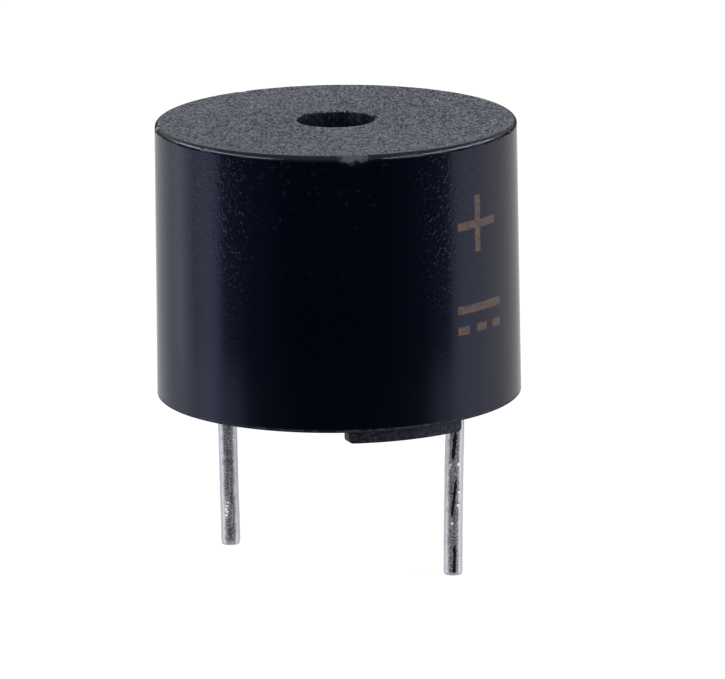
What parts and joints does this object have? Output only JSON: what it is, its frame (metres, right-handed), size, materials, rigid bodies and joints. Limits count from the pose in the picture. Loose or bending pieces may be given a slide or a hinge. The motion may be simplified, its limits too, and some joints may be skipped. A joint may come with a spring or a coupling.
{
  "type": "magnetic buzzer",
  "caption": "Round moulded through-hole buzzer that makes a tone: a black cup with a sound hole on top, driver, coil and diaphragm inside, and stiff wire pins below.",
  "frame": {"origin": "middle of the seating plane, under the feet, on the housing's axis and midway between the pins", "axes": "+Z along the housing's axis, out of the sound hole; +X from the middle to the positive, longer pin; +Y completes a right-handed frame"},
  "size_m": [0.012, 0.012, 0.0153],
  "materials": {
    "case_plastic": "black moulded plastic: polished side, fine spark-eroded grain on the top and the feet",
    "spring_steel": "rolled",
    "weight_steel": "punched, plated",
    "ring_metal": "turned",
    "magnet_ferrite": "matt, bonded ferrite",
    "yoke_steel": "plated",
    "bobbin_plastic": "moulded, natural",
    "enamelled_wire": "enamelled copper",
    "board_laminate": "glass-fibre laminate with green mask",
    "copper_foil": "foil",
    "chip_plastic": "moulded, matt",
    "tinned_metal": "tinned",
    "ceramic": "fired",
    "tinned_pin": "tinned wire, mottled",
    "solder": "bright solder",
    "potting_black": "cast resin"
  },
  "bodies": {
    "root": {"housing": "case_plastic", "diaphragm": "spring_steel", "diaphragm_weight": "weight_steel", "support_ring": "ring_metal", "ring_magnet": "magnet_ferrite", "yoke_plate": "yoke_steel", "core_post": "yoke_steel", "coil_bobbin": "bobbin_plastic", "drive_winding": "enamelled_wire", "sense_winding": "enamelled_wire", "lead_drive": "enamelled_wire", "lead_common": "enamelled_wire", "lead_sense": "enamelled_wire", "circuit_board": "board_laminate", "copper_tracks": "copper_foil", "transistor": "chip_plastic", "transistor_legs": "tinned_metal", "base_resistor": "ceramic", "resistor_caps": "tinned_metal", "pin_positive": "tinned_pin", "pin_negative": "tinned_pin", "solder_positive": "solder", "solder_negative": "solder", "solder_leads": "solder", "potting_resin": "potting_black"}
  },
  "joints": []
}
